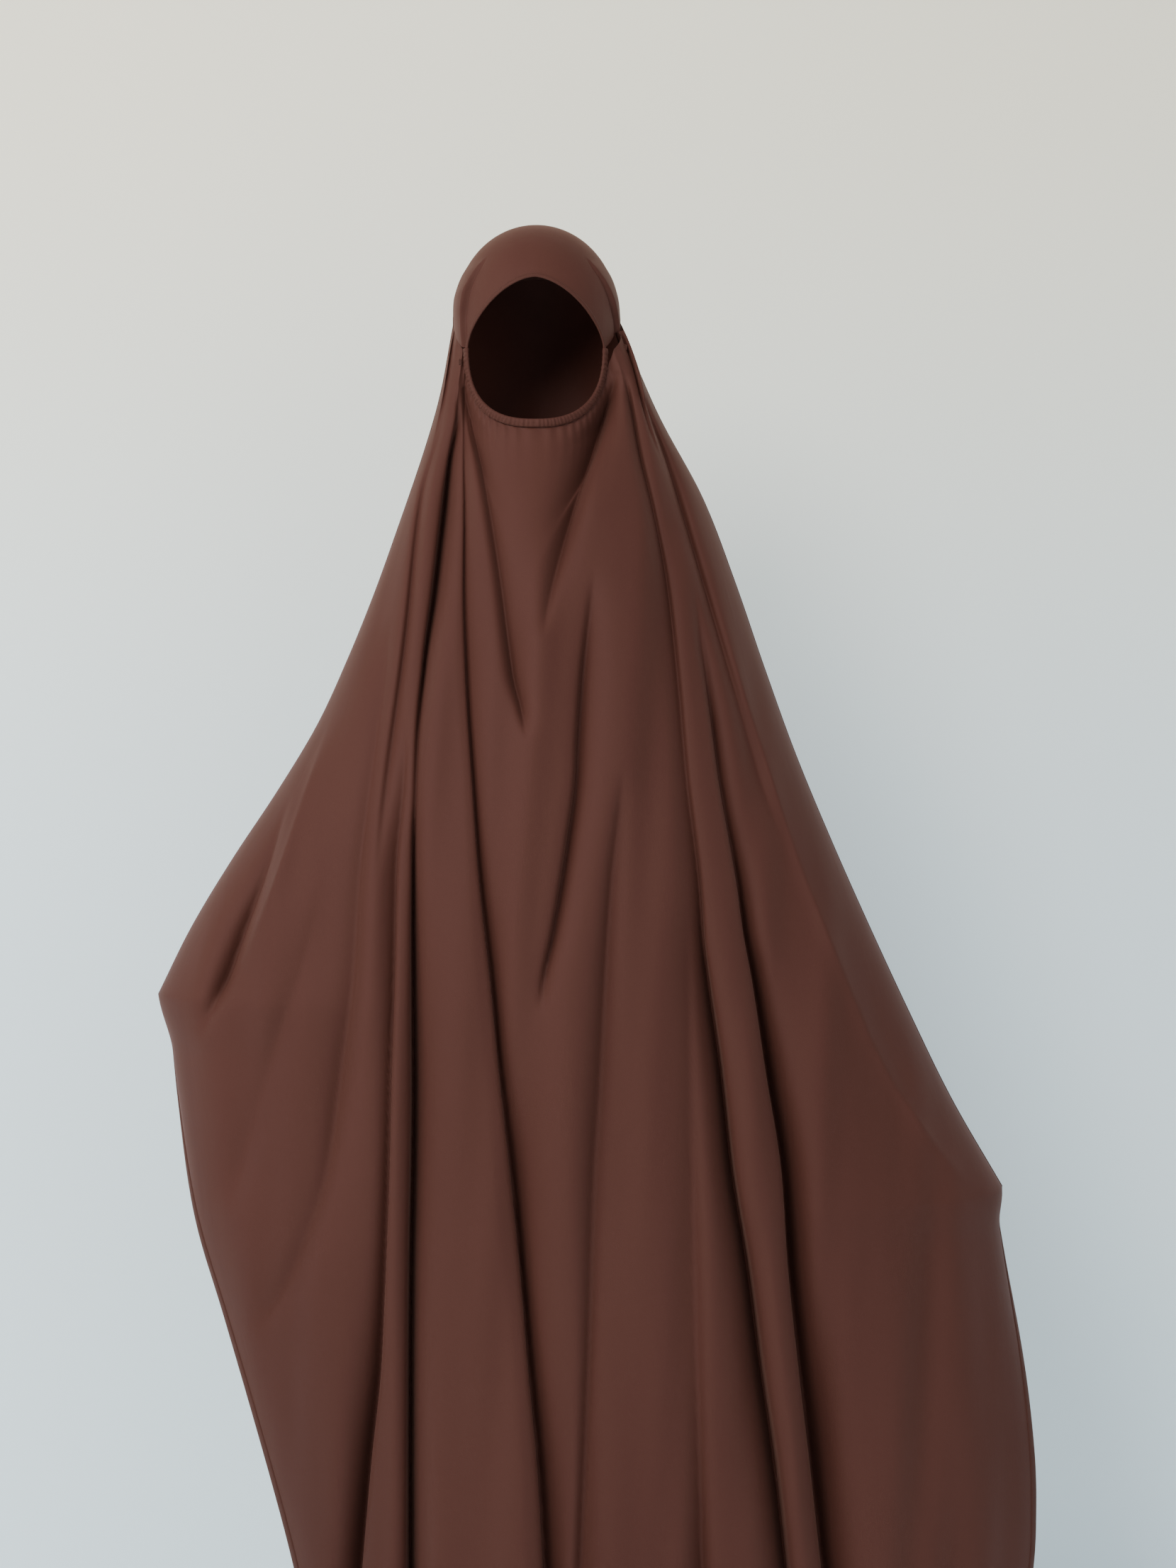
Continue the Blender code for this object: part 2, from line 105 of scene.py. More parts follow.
# Folds of the front, left to right. Each row: down, across, depth, width of the left flank and of the
# right flank, in millimetres. A negative depth is a ridge.
frontFolds = {
    "armRidge": [(500, -205, 0, 14, 26), (600, -234, -7, 13, 26), (700, -264, -9, 12, 28),
                 (770, -292, -6, 12, 26), (840, -318, 0, 12, 22)],
    "armSwag": [(600, -254, 0, 18, 8), (660, -268, 7, 18, 8), (700, -280, 15, 20, 8),
                (760, -302, 25, 24, 11), (810, -320, 27, 22, 16), (850, -340, 9, 20, 15),
                (880, -352, 0, 18, 12)],
    "armShadow": [(700, -215, 0, 40, 40), (800, -238, 9, 45, 40), (900, -274, 13, 45, 40),
                  (1000, -304, 11, 40, 35), (1060, -322, 0, 40, 35)],
    "elbowSwag": [(420, -150, 0, 30, 20), (500, -157, 8, 30, 20), (600, -167, 13, 32, 18),
                  (700, -177, 17, 34, 15), (800, -182, 19, 36, 15), (900, -195, 19, 36, 17),
                  (1000, -210, 17, 34, 19), (1080, -235, 13, 30, 22), (1140, -265, 8, 26, 22),
                  (1190, -300, 0, 24, 20)],
    "leftFan": [(215, -98, 0, 6, 10), (300, -122, 9, 5, 12), (450, -134, 11, 5, 14), (600, -150, 8, 6, 14),
                (720, -160, 0, 8, 14)],
    "leftTuck": [(520, -130, 0, 16, 6), (600, -132, 8, 16, 5), (700, -139, 14, 20, 6),
                 (800, -140, 18, 20, 6), (900, -143, 20, 22, 6), (1000, -146, 24, 22, 7),
                 (1100, -150, 28, 24, 7), (1200, -156, 34, 26, 8), (1300, -168, 42, 28, 9),
                 (1420, -180, 50, 30, 10), (1580, -195, 54, 32, 12)],
    "leftSlit": [(170, -83, 0, 8, 20), (210, -84, 10, 6, 20), (260, -94, 32, 7, 26),
                 (320, -100, 44, 8, 30), (400, -107, 44, 8, 28), (480, -115, 32, 8, 22),
                 (560, -119, 17, 8, 16), (620, -120, 14, 8, 14), (680, -123, 26, 7, 14),
                 (760, -124, 40, 7, 16), (900, -124, 48, 7, 18), (1100, -127, 54, 8, 20),
                 (1300, -129, 60, 8, 24), (1580, -131, 62, 9, 28)],
    "lap": [(180, -77, 3, 6, 14), (260, -76, 10, 5, 16), (320, -74, 12, 5, 16), (400, -73, 12, 5, 16),
            (500, -69, 14, 5, 18), (600, -62, 16, 5, 20), (700, -55, 20, 5, 24), (800, -44, 24, 6, 28),
            (900, -35, 28, 6, 32), (1000, -24, 32, 7, 34), (1100, -14, 36, 7, 36),
            (1200, -5, 38, 8, 36), (1300, 4, 40, 8, 38), (1420, 11, 42, 9, 40), (1580, 20, 44, 10, 42)],
    "leftChinSwag": [(170, -76, 2, 8, 16), (200, -72, 9, 9, 20), (260, -59, 15, 9, 24),
                     (320, -47, 17, 9, 26), (400, -34, 17, 10, 26), (460, -26, 17, 9, 22),
                     (500, -20, 17, 8, 18), (530, -12, 13, 7, 16), (565, -5, 0, 8, 12)],
    "rightChinSwag": [(165, 88, 2, 20, 8), (200, 77, 20, 26, 9), (230, 68, 30, 28, 10),
                      (260, 59, 34, 30, 11), (320, 41, 32, 30, 13), (360, 30, 23, 26, 15),
                      (400, 20, 15, 20, 15), (430, 14, 8, 16, 15), (460, 10, 0, 14, 14)],
    "bustFold": [(380, 64, 0, 12, 20), (430, 58, 8, 10, 22), (500, 50, 16, 9, 24), (560, 46, 18, 9, 24),
                 (600, 44, 18, 8, 22), (660, 36, 20, 8, 20), (700, 30, 20, 8, 20), (760, 20, 18, 8, 18),
                 (800, 12, 12, 8, 14), (845, 7, 0, 8, 12)],
    "hipFold": [(580, 94, 0, 20, 20), (640, 87, 9, 12, 26), (700, 80, 13, 12, 28), (800, 73, 15, 13, 30),
                (900, 68, 15, 13, 30), (1000, 62, 15, 13, 30), (1200, 56, 19, 14, 28),
                (1420, 48, 23, 14, 28), (1580, 42, 25, 14, 28)],
    "softFold": [(700, 155, 0, 40, 30), (800, 158, 8, 40, 20), (900, 160, 10, 40, 16),
                 (1100, 164, 12, 40, 14), (1300, 169, 18, 36, 12), (1420, 172, 24, 32, 12),
                 (1580, 176, 28, 30, 12)],
    "rightSlit": [(160, 94, 0, 8, 10), (200, 102, 14, 7, 8), (260, 112, 15, 8, 7), (320, 125, 14, 11, 7),
                  (400, 139, 14, 14, 7), (500, 149, 14, 18, 8), (600, 157, 12, 22, 8),
                  (700, 169, 18, 22, 8), (760, 174, 26, 24, 8), (800, 179, 36, 24, 9),
                  (900, 193, 50, 24, 10), (1000, 204, 56, 24, 10), (1100, 220, 58, 26, 11),
                  (1200, 233, 60, 26, 11), (1300, 247, 60, 28, 12), (1420, 260, 60, 28, 12),
                  (1580, 276, 60, 30, 14)],
    "rightTuck": [(380, 165, 0, 12, 12), (440, 172, 6, 12, 12), (500, 179, 14, 9, 16),
                  (560, 186, 20, 8, 18), (600, 191, 20, 8, 20), (700, 208, 28, 9, 22),
                  (760, 216, 36, 9, 22), (800, 224, 44, 10, 24), (900, 239, 54, 10, 26),
                  (1000, 255, 58, 11, 28), (1100, 262, 60, 12, 32), (1200, 272, 60, 12, 36),
                  (1300, 284, 60, 12, 40), (1420, 297, 60, 12, 44), (1580, 312, 60, 12, 46)],
    "armPull": [(170, 108, 0, 8, 8), (200, 119, 12, 7, 7), (260, 140, 16, 7, 8), (320, 157, 16, 8, 8),
                (400, 179, 15, 9, 9), (500, 207, 11, 12, 10), (600, 235, 6, 16, 14),
                (680, 262, 0, 16, 14)],
    "armStretch": [(400, 188, 0, 10, 18), (500, 216, -5, 12, 20), (600, 247, -7, 14, 24),
                   (700, 280, -7, 16, 26), (800, 320, -7, 18, 26), (900, 364, -6, 20, 24),
                   (990, 424, -5, 20, 20), (1035, 465, 0, 20, 20)],
}

# Flutes of the back, in the same terms
backFolds = {
    "backArmLeft": [(400, -130, 0, 36, 45), (600, -189, 12, 36, 45), (885, -262, 19, 36, 45),
                    (1200, -225, 19, 36, 45), (1580, -185, 14, 36, 45)],
    "backFluteOne": [(240, -62, 0, 40, 30), (600, -89, 10, 42, 32), (885, -107, 21, 42, 30),
                     (1200, -107, 30, 42, 26), (1580, -104, 33, 42, 24)],
    "backFluteTwo": [(280, -25, 0, 30, 44), (600, -25, 8, 32, 46), (885, -16, 17, 30, 46),
                     (1200, -7, 26, 26, 46), (1580, 4, 28, 24, 46)],
    "backFluteThree": [(220, 12, 0, 40, 36), (600, 47, 12, 42, 36), (885, 75, 24, 42, 34),
                       (1200, 93, 33, 42, 30), (1580, 113, 35, 42, 28)],
    "backFluteFour": [(320, 66, 0, 36, 46), (600, 120, 8, 36, 46), (885, 175, 19, 34, 46),
                      (1200, 211, 27, 30, 46), (1580, 232, 30, 28, 46)],
    "backFluteFive": [(260, 98, 0, 46, 36), (600, 184, 10, 46, 36), (885, 266, 20, 46, 34),
                      (1200, 320, 28, 44, 30), (1580, 342, 30, 42, 28)],
    "backArmRight": [(420, 175, 0, 36, 36), (600, 238, 10, 36, 36), (885, 357, 17, 36, 36),
                     (1200, 420, 17, 36, 34), (1580, 432, 12, 34, 30)],
}
# A crease is a broad hollow with a narrow core, and its drawn bank lies beside it: shares of its flank
crease = {
    "crisp": 0.8,
    "broadPower": 1.6,
    "coreWidth": 0.42,
    "corePower": 1.3,
    "bankPlace": 0.95,
    "bankWidth": 0.55,
    "bankFull": 30,
}
# How far the left bank of a crease is drawn over it, in millimetres; the right bank where negative
laps = {"lap": 7, "leftTuck": -4, "leftSlit": 5, "rightSlit": -5, "rightTuck": 5, "bustFold": 4}


# Curves

def smooth(value):
    value = np.clip(value, 0.0, 1.0)
    return value * value * (3 - 2 * value)


def readCurve(places, values, at, steady=False, level=False):
    places = np.asarray(places, dtype=float)
    values = np.asarray(values, dtype=float)
    slopes = np.gradient(values, places)
    if steady:
        rise = np.diff(values) / np.diff(places)
        product = rise[1:] * rise[:-1]
        total = rise[1:] + rise[:-1]
        inner = np.where(product > 0, 2 * product / np.where(total == 0, 1, total), 0.0)
        ends = (0.0, 0.0) if level else (rise[0], rise[-1])
        slopes = np.concatenate([[ends[0]], inner, [ends[1]]])
    k = np.clip(np.searchsorted(places, at) - 1, 0, len(places) - 2)
    span = places[k + 1] - places[k]
    t = np.clip((at - places[k]) / span, 0.0, 1.0)
    return (
        values[k] * (1 + 2 * t) * (1 - t) ** 2
        + slopes[k] * span * t * (1 - t) ** 2
        + values[k + 1] * t * t * (3 - 2 * t)
        + slopes[k + 1] * span * t * t * (t - 1)
    )


def unit(vectors):
    length = np.linalg.norm(vectors, axis=-1, keepdims=True)
    return vectors / np.maximum(length, 1e-9)


def join(x, y, z):
    return np.stack(np.broadcast_arrays(x, y, z), axis=-1)


# The form of the head and the edges that lie on it

def taperAt(z):
    high = np.where(z > headCentre, veil["crownHeight"], veil["neckTaper"])
    return np.sqrt(np.maximum(1 - ((z - headCentre) / high) ** 2, 0.0))


def formY(x, z):
    return -veil["headFront"] * np.sqrt(np.maximum(taperAt(z) ** 2 - (x / halfHead) ** 2, 0.0))


def formSizes(y, z):
    deep = np.where(y < 0, veil["headFront"], veil["headBack"])
    high = np.where(z > 0, veil["crownHeight"], veil["neckTaper"])
    return deep, high


def onForm(way):
    x, y, z = way[..., 0], way[..., 1], way[..., 2]
    deep, high = formSizes(y, z)
    scale = 1 / np.sqrt((x / halfHead) ** 2 + (y / deep) ** 2 + (z / high) ** 2)
    return join(x * scale, y * scale, headCentre + z * scale)


def outward(points):
    x, y, z = points[..., 0], points[..., 1], points[..., 2] - headCentre
    deep, high = formSizes(y, z)
    return unit(join(x / halfHead ** 2, y / deep ** 2, z / high ** 2))


def arcPoint(share, halfWidth, height, power):
    side = np.cos(math.pi * share)
    rise = np.maximum(np.sin(math.pi * share), 0.0)
    return -halfWidth * np.sign(side) * np.abs(side) ** (2 / power), height * rise ** (2 / power)


def browEdge(share, inset):
    height = veil["jawDrop"] - veil["browDrop"] + inset
    x, rise = arcPoint(share, halfFace + inset * 0.45, height, veil["archPower"])
    z = rise - veil["jawDrop"]
    return join(x, formY(x, z), z)


def backSeam(share, raised=0.0):
    angle = math.pi * share
    rise = np.maximum(np.sin(angle), 0.0) ** veil["seamPower"]
    z = (veil["earDrop"] - veil["seamDrop"]) * rise - veil["earDrop"] + raised
    taper = taperAt(z)
    return join(-halfHead * taper * np.cos(angle), veil["headBack"] * taper * np.sin(angle), z)


def chinEdge(share):
    step = 0.002
    x, fall = arcPoint(share, halfFace, veil["chinDrop"] - veil["jawDrop"], veil["chinPower"])
    z = -veil["jawDrop"] - fall
    awayX = -np.cos(math.pi * share)
    awayZ = -np.sin(math.pi * share)
    rise = (formY(x + awayX * step, z + awayZ * step) - formY(x, z)) / step
    return join(x, formY(x, z), z), unit(join(awayX, rise, awayZ))


# The pleat's outer layer stands proud of the form, rounds over at its edge and sinks again behind it
hood = {
    "across": 320,
    "deep": 170,
    "deepEase": 1.5,
    "browHem": 0.0045,
    "offForm": 0.0012,
    "edgeLead": 0.0006,
    "edgeRound": 0.0024,
    "sink": 0.45,
    "sinkReach": 0.035,
    "groovePlace": 0.0026,
    "grooveWidth": 0.002,
    "grooveDepth": 0.40,
}

# The pleat at each temple, in millimetres: down from the crown, then how far from the middle its edge
# lies and how proud its outer layer stands, left and right
pleatRows = [
    (44, 50, 52, 0.0, 0.0), (58, 59, 62, 2.4, 2.0), (70, 66, 71, 4.0, 3.0), (82, 71, 77, 5.6, 4.2),
    (95, 73.5, 81, 5.6, 4.8), (110, 75, 84, 4.4, 4.6), (125, 74.5, 84.6, 4.2, 5.0), (140, 73.5, 83, 4.0, 5.0),
]


def hoodLift(points):
    x, y, z = points[..., 0], points[..., 1], points[..., 2]
    down, left, right, leftProud, rightProud = zip(*pleatRows)
    drop = -z * 1000
    edge = np.where(x < 0, readCurve(down, left, drop, True), readCurve(down, right, drop, True)) / 1000
    proud = np.where(
        x < 0,
        readCurve(down, leftProud, drop, True, True),
        readCurve(down, rightProud, drop, True, True),
    ) / 1000
    taper = np.maximum(taperAt(z), 0.05)
    deep = np.where(y < 0, veil["headFront"], veil["headBack"])
    turn = np.arctan2(np.abs(x) / halfHead, -y / deep)
    past = (turn - np.arcsin(np.clip(edge / (halfHead * taper), 0, 1))) * halfHead
    sunk = 1 - hood["sink"] * smooth(past / hood["sinkReach"])
    over = smooth((past + hood["edgeLead"]) / hood["edgeRound"]) * sunk
    groove = np.exp(-((past + hood["groovePlace"]) / hood["grooveWidth"]) ** 2)
    return hood["offForm"] + proud * (over - hood["grooveDepth"] * groove)


def onHood(points, under=0.0):
    return points + outward(points) * (hoodLift(points) - under)[..., None]


# The sections of the drape

def sideX(z, left, inset):
    reach = veil["leftReach"] if left else veil["rightReach"]
    wrist = veil["leftWristDrop"] if left else veil["rightWristDrop"]
    column = 1 if left else 2
    down = np.maximum((-z - veil["sideDrop"]) / (wrist - veil["sideDrop"]), 0.0)
    arm = readCurve([row[0] for row in armOutline], [row[column] for row in armOutline], down)
    above = halfHead + (reach - halfHead) * arm
    lower = (-z - wrist) / (veil["length"] - wrist)
    free = reach * readCurve([row[0] for row in sideOutline], [row[column] for row in sideOutline], lower)
    free = free - inset * smooth(12 * lower)
    out = np.where(lower <= 0, above, free)
    return -out if left else out


def sectionPoint(across, z, left, right, front, wrist):
    down = -z / veil["length"]
    table = list(zip(*depthTable))
    opened = 0.5 * readCurve(table[0], table[3], down) * smooth((wrist + 0.01 - z) / 0.30) ** 2
    bulge = np.sqrt(np.maximum(1 - (1 - opened) * (2 * across - 1) ** 2, 0.0))
    forward = -veil["armForward"] * smooth((-z - veil["jawDrop"]) / (veil["leftWristDrop"] - veil["jawDrop"]))
    if front:
        deep = -veil["frontDepth"] * readCurve(table[0], table[1], down) * bulge
    else:
        deep = veil["backDepth"] * readCurve(table[0], table[2], down) * bulge
    return join(left + (right - left) * across, forward + deep, z)


def drawIn(x, z, folds):
    deep = np.zeros_like(x)
    aside = np.zeros_like(x)
    drop = -z * 1000
    for name, rows in folds.items():
        down, across, depth, leftFlank, rightFlank = zip(*rows)
        centre = readCurve(down, across, drop, True)
        here = readCurve(down, depth, drop, True, True)
        here = here * ((drop >= down[0]) & (drop <= down[-1]))
        flank = np.where(
            x * 1000 < centre,
            readCurve(down, leftFlank, drop, True),
            readCurve(down, rightFlank, drop, True),
        )
        away = (x * 1000 - centre) / (flank * crease["crisp"])
        broad = np.exp(-np.abs(away) ** crease["broadPower"])
        core = np.exp(-np.abs(away / crease["coreWidth"]) ** crease["corePower"])
        deep += here * (0.5 * broad + 0.5 * core)
        lap = laps.get(name, 0)
        if lap:
            bank = np.exp(-((away + np.sign(lap) * crease["bankPlace"]) / crease["bankWidth"]) ** 2)
            aside += lap * np.clip(here / crease["bankFull"], 0, 1) * bank
    return deep / 1000, aside / 1000


def easyWaves(x, z, size, seed):
    chance = np.random.default_rng(seed)
    total = np.zeros_like(x)
    for _ in range(drape["waveCount"]):
        wide = chance.uniform(*drape["waveWidths"])
        tall = chance.uniform(*drape["waveHeights"]) * chance.choice([-1, 1])
        total += np.sin(2 * math.pi * (x / wide + z / tall) + chance.uniform(0, 2 * math.pi)) * wide
    return total * size


drape = {
    "columns": 300,
    "upperRows": 180,
    "lowerRows": 148,
    "samples": 2400,
    "sideShare": 0.12,
    "rowEase": 1.15,
    "edgeHold": 14,
    "settle": 0.025,
    "underHood": 0.004,
    "layerGap": 0.0008,
    "tuckShare": 0.4,
    "leftLoose": (0.0025, 0.11, 0.03),
    "rightLoose": (0.0105, 0.905, 0.05),
    "looseEnd": 0.04,
    "waves": 0.0009,
    "waveCount": 12,
    "waveWidths": (0.035, 0.13),
    "waveHeights": (0.35, 1.1),
    "waveUnit": 0.09,
    "waveStart": 0.03,
    "waveFull": 0.2,
    "puckers": 30,
    "puckerDepth": 0.0010,
    "puckerReach": 0.016,
    "puckerStart": 0.002,
}
casing = {
    "width": 0.009,
    "puff": 0.0021,
    "ruches": 64,
    "rucheSwell": 0.16,
    "offForm": 0.0010,
    "clear": 0.0006,
    "steps": 520,
}


def looseAt(share, swell):
    size, place, width = swell
    return size * np.exp(-((share - place) / width) ** 2)


def frontTop(share):
    sideShare = drape["sideShare"]
    clear = casing["width"] + casing["clear"]
    inner = np.clip((share - sideShare) / (1 - 2 * sideShare), 0, 1)
    place, away = chinEdge(inner)
    edge = place + away * clear
    corner = np.abs(edge[..., 0].min())
    turn = np.clip(np.minimum(share, 1 - share) / sideShare, 0, 1)
    under = drape["underHood"]
    z = -veil["earDrop"] + under - (veil["jawDrop"] - veil["earDrop"] + under) * turn
    taper = taperAt(z)
    full = np.arcsin(np.clip(corner / (halfHead * taper), 0, 1))
    angle = math.pi / 2 + (full - math.pi / 2) * turn
    side = join(
        np.sign(share - 0.5) * halfHead * taper * np.sin(angle),
        -veil["headFront"] * taper * np.cos(angle),
        z,
    )
    lifted = onHood(side, drape["layerGap"])
    hold = smooth((1 - turn) / drape["tuckShare"])[..., None]
    side = side + (lifted - side) * hold
    chosen = np.where((turn < 1)[..., None], side, edge)
    loose = looseAt(share, drape["rightLoose"]) * smooth((1 - share) / drape["looseEnd"])
    loose += looseAt(share, drape["leftLoose"])
    return chosen + outward(chosen) * loose[..., None]


def backTop(share):
    return onHood(backSeam(share, drape["underHood"]), drape["layerGap"])


def panelPoints(front):
    across = np.linspace(0, 1, drape["samples"])
    feed = list(zip(*(neckFeed if front else seamFeed)))
    along = readCurve(feed[0], feed[1], across, True)
    top = frontTop(along) if front else backTop(along)
    inset = veil["hemWidth"] + (0 if front else veil["backInset"])
    wrist = -veil["leftWristDrop"] + (veil["leftWristDrop"] - veil["rightWristDrop"]) * across
    topZ = top[:, 2]
    left, right = sideX(topZ, True, inset), sideX(topZ, False, inset)
    start = np.clip((top[:, 0] - left) / (right - left), 0, 1)
    start[0], start[-1] = 0, 1
    lead = top - sectionPoint(start, topZ, left, right, front, wrist)
    bottom = -veil["length"] + veil["hemWidth"] + veil["cornerLift"] * np.abs(2 * across - 1) ** 8

    upper = 0.5 * (np.arange(drape["upperRows"]) / drape["upperRows"]) ** drape["rowEase"]
    lower = 0.5 + 0.5 * np.arange(drape["lowerRows"] + 1) / drape["lowerRows"]
    height = np.concatenate([upper, lower])[:, None]
    z = np.where(
        height <= 0.5,
        topZ + (wrist - topZ) * height * 2,
        wrist + (bottom - wrist) * (height - 0.5) * 2,
    )
    left, right = sideX(z, True, inset), sideX(z, False, inset)
    hold = 1 - smooth((topZ - z) / veil["neckBlend"])
    place = across + (start - across) * hold
    points = sectionPoint(place, z, left, right, front, wrist) + lead * hold[..., None]

    edge = smooth(drape["edgeHold"] * place) * smooth(drape["edgeHold"] * (1 - place))
    clear = smooth((topZ - z) / drape["settle"]) * edge
    deep, aside = drawIn(points[..., 0], z, frontFolds if front else backFolds)
    calm = smooth((topZ - z - drape["waveStart"]) / drape["waveFull"]) * edge
    size = drape["waves"] / drape["waveUnit"]
    deep = deep * clear + easyWaves(points[..., 0], z, size, 7 if front else 8) * calm
    if front:
        pucker = np.sin(2 * math.pi * drape["puckers"] * along + 2.2 * np.sin(19 * along))
        under = np.exp(-(topZ - z) / drape["puckerReach"]) * smooth((topZ - z) / drape["puckerStart"])
        deep = deep + drape["puckerDepth"] * pucker * under * edge
    points[..., 0] += aside * clear
    points[..., 1] += deep if front else -deep
    return evenColumns(points)


def evenColumns(points):
    step = np.diff(points, axis=1) * np.array([1.0, 0.6, 0.6])
    walked = np.cumsum(np.linalg.norm(step, axis=-1), axis=1)
    walked = np.concatenate([np.zeros((len(points), 1)), walked], axis=1)
    rows = []
    for line, reach in zip(points, walked):
        at = np.linspace(0, reach[-1], drape["columns"] + 1)
        rows.append(np.stack([np.interp(at, reach, line[:, k]) for k in range(3)], axis=-1))
    return np.array(rows)


# Meshes

def addMesh(name, verts, faces, uv=None):
    mesh = bpy.data.meshes.new(name)
    mesh.from_pydata(verts.tolist(), [], faces)
    if uv is not None:
        layer = mesh.uv_layers.new(name="cloth")
        corner = np.empty(len(mesh.loops), dtype=np.int32)
        mesh.loops.foreach_get("vertex_index", corner)
        layer.data.foreach_set("uv", uv[corner].ravel())
    mesh.shade_smooth()
    made = bpy.data.objects.new(name, mesh)
    bpy.context.scene.collection.objects.link(made)
    return made


def addSheet(name, points, flip=False):
    rows, columns = points.shape[:2]
    index = np.arange(rows * columns).reshape(rows, columns)
    corners = [index[:-1, :-1], index[1:, :-1], index[1:, 1:], index[:-1, 1:]]
    if flip:
        corners.reverse()
    faces = np.stack(corners, axis=-1).reshape(-1, 4).tolist()
    across = np.linalg.norm(np.diff(points, axis=1), axis=-1)
    across = np.concatenate([np.zeros((rows, 1)), np.cumsum(across, axis=1)], axis=1)
    across -= across[:, -1:] / 2
    down = np.linalg.norm(np.diff(points, axis=0), axis=-1).mean(axis=1)
    down = np.concatenate([[0.0], np.cumsum(down)])[:, None] + np.zeros_like(across)
    uv = np.stack([across, down], axis=-1).reshape(-1, 2)
    return addMesh(name, points.reshape(-1, 3), faces, uv)


def addRibbon(name, centre, across, normal, halfWidth, halfThick, sides=14, power=2.6):
    angle = np.arange(sides) * 2 * math.pi / sides
    side = np.sign(np.cos(angle)) * np.abs(np.cos(angle)) ** (2 / power)
    rise = np.sign(np.sin(angle)) * np.abs(np.sin(angle)) ** (2 / power)
    wide = np.broadcast_to(halfWidth, len(centre))[:, None, None]
    thick = np.broadcast_to(halfThick, len(centre))[:, None, None]
    rings = (
        centre[:, None]
        + across[:, None] * side[None, :, None] * wide
        + normal[:, None] * rise[None, :, None] * thick
    )
    index = np.arange(len(centre) * sides).reshape(len(centre), sides)
    after = np.roll(index, -1, axis=1)
    faces = np.stack([index[:-1], after[:-1], after[1:], index[1:]], axis=-1).reshape(-1, 4).tolist()
    faces += [index[0, ::-1].tolist(), index[-1].tolist()]
    return addMesh(name, rings.reshape(-1, 3), faces)


def walk(path, step, *beside):
    length = np.linalg.norm(np.diff(path, axis=0), axis=-1)
    walked = np.concatenate([[0.0], np.cumsum(length)])
    at = np.linspace(0, walked[-1], max(int(walked[-1] / step), 2) + 1)
    lines = (path, *beside)
    return [np.stack([np.interp(at, walked, line[:, k]) for k in range(3)], axis=-1) for line in lines]


def addStitches(name, path, normal, step, size):
    centre, up = walk(path, step, normal)
    along = unit(np.gradient(centre, axis=0))
    up = unit(up)
    aside = np.cross(up, along)
    long, wide, tall = size
    signs = np.array([(a, b, c) for a in (-1, 1) for b in (-1, 1) for c in (-1, 1)])
    narrow = np.where(signs[:, 2] > 0, 0.6, 1.0)
    corners = (
        centre[:, None]
        + along[:, None] * (signs[None, :, 0] * narrow)[..., None] * long / 2
        + aside[:, None] * (signs[None, :, 1] * narrow)[..., None] * wide / 2
        + up[:, None] * signs[None, :, 2][..., None] * tall / 2
    )
    box = np.array([(0, 1, 3, 2), (4, 6, 7, 5), (0, 4, 5, 1), (2, 3, 7, 6), (0, 2, 6, 4), (1, 5, 7, 3)])
    faces = (box[None] + 8 * np.arange(len(centre))[:, None, None]).reshape(-1, 4).tolist()
    return addMesh(name, corners.reshape(-1, 3), faces)


# Materials

def socketOf(node, name, value):
    node.inputs[name].default_value = value


weave = {"grainScale": 1100.0, "creaseScale": 22.0}


def grainGroup():
    group = bpy.data.node_groups.new("crepeGrain", "ShaderNodeTree")
    for name in ("grainScale", "creaseScale"):
        made = group.interface.new_socket(name, in_out="INPUT", socket_type="NodeSocketFloat")
        made.default_value = weave[name]
    for name in ("tone", "grain", "crease"):
        group.interface.new_socket(name, in_out="OUTPUT", socket_type="NodeSocketFloat")
    nodes, link = group.nodes, group.links.new
    given = nodes.new("NodeGroupInput")
    out = nodes.new("NodeGroupOutput")
    place = nodes.new("ShaderNodeTexCoord")
    fine = nodes.new("ShaderNodeTexNoise")
    socketOf(fine, "Detail", 2.0)
    link(place.outputs["Object"], fine.inputs["Vector"])
    link(given.outputs["grainScale"], fine.inputs["Scale"])
    fall = nodes.new("ShaderNodeMapping")
    socketOf(fall, "Scale", (1.0, 1.0, 0.22))
    link(place.outputs["Object"], fall.inputs["Vector"])
    crinkle = nodes.new("ShaderNodeTexNoise")
    socketOf(crinkle, "Detail", 4.0)
    socketOf(crinkle, "Roughness", 0.55)
    socketOf(crinkle, "Distortion", 0.6)
    link(fall.outputs["Vector"], crinkle.inputs["Vector"])
    link(given.outputs["creaseScale"], crinkle.inputs["Scale"])
    broad = nodes.new("ShaderNodeTexNoise")
    socketOf(broad, "Scale", 6.0)
    socketOf(broad, "Detail", 3.0)
    link(fall.outputs["Vector"], broad.inputs["Vector"])
    mixed = nodes.new("ShaderNodeMix")
    mixed.data_type = "FLOAT"
    socketOf(mixed, "Factor", 0.35)
    link(broad.outputs["Fac"], mixed.inputs["A"])
    link(fine.outputs["Fac"], mixed.inputs["B"])
    link(mixed.outputs["Result"], out.inputs["tone"])
    link(fine.outputs["Fac"], out.inputs["grain"])
    link(crinkle.outputs["Fac"], out.inputs["crease"])
    return group


grain = grainGroup()


